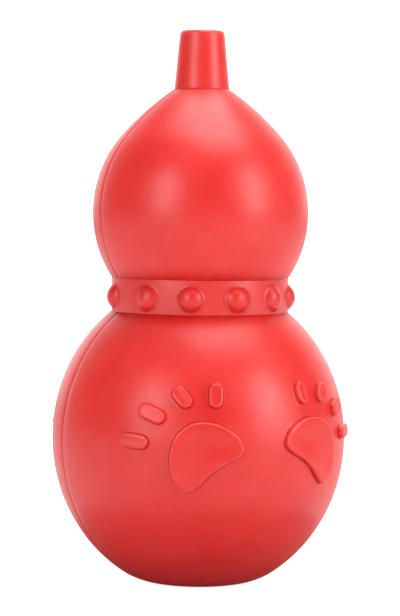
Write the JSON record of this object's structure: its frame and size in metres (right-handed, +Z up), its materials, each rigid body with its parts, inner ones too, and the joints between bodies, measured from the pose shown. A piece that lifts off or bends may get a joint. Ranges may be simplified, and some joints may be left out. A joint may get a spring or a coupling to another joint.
{
  "type": "chew toy",
  "caption": "Hollow gourd-shaped rubber chew toy with raised paw prints, a studded collar round its waist, a pull-out stem and a reed squeaker in its flat foot.",
  "frame": {"origin": "centre of the flat foot, on the floor", "axes": "+Z up through the stem, -Y out of the middle of the front shell, the seam in the XZ plane"},
  "size_m": [0.08, 0.082, 0.1504],
  "materials": {
    "shell_rubber": "moulded natural rubber, red, satin matt",
    "collar_rubber": "moulded natural rubber, red, satin matt",
    "stem_rubber": "moulded natural rubber, red, satin matt",
    "squeaker_plastic": "moulded polypropylene, off-white",
    "reed_film": "thin polyester strip, off-white"
  },
  "bodies": {
    "shell": {"front_shell": "shell_rubber", "rear_shell": "shell_rubber", "squeaker_cup": "squeaker_plastic", "squeaker_cap": "squeaker_plastic", "reed_bed": "squeaker_plastic", "reed_wedge": "squeaker_plastic"},
    "collar": {"studded_collar": "collar_rubber"},
    "stopper": {"stem_stopper": "stem_rubber"},
    "reed": {"reed": "reed_film"}
  },
  "joints": [
    {"name": "stopper_pull", "type": "slide", "parent": "shell", "child": "stopper", "axis": [0, 0, 1], "range_m": [0, 0.03]},
    {"name": "collar_turn", "type": "hinge", "parent": "shell", "child": "collar", "pos_m": [0, 0, 0.07865], "axis": [0, 0, 1], "continuous": true},
    {"name": "reed_flex", "type": "hinge", "parent": "shell", "child": "reed", "pos_m": [0, 0, 0.0034], "axis": [1, 0, 0], "range_deg": [-4, 4], "stiffness_Nm_per_rad": 0.005}
  ]
}
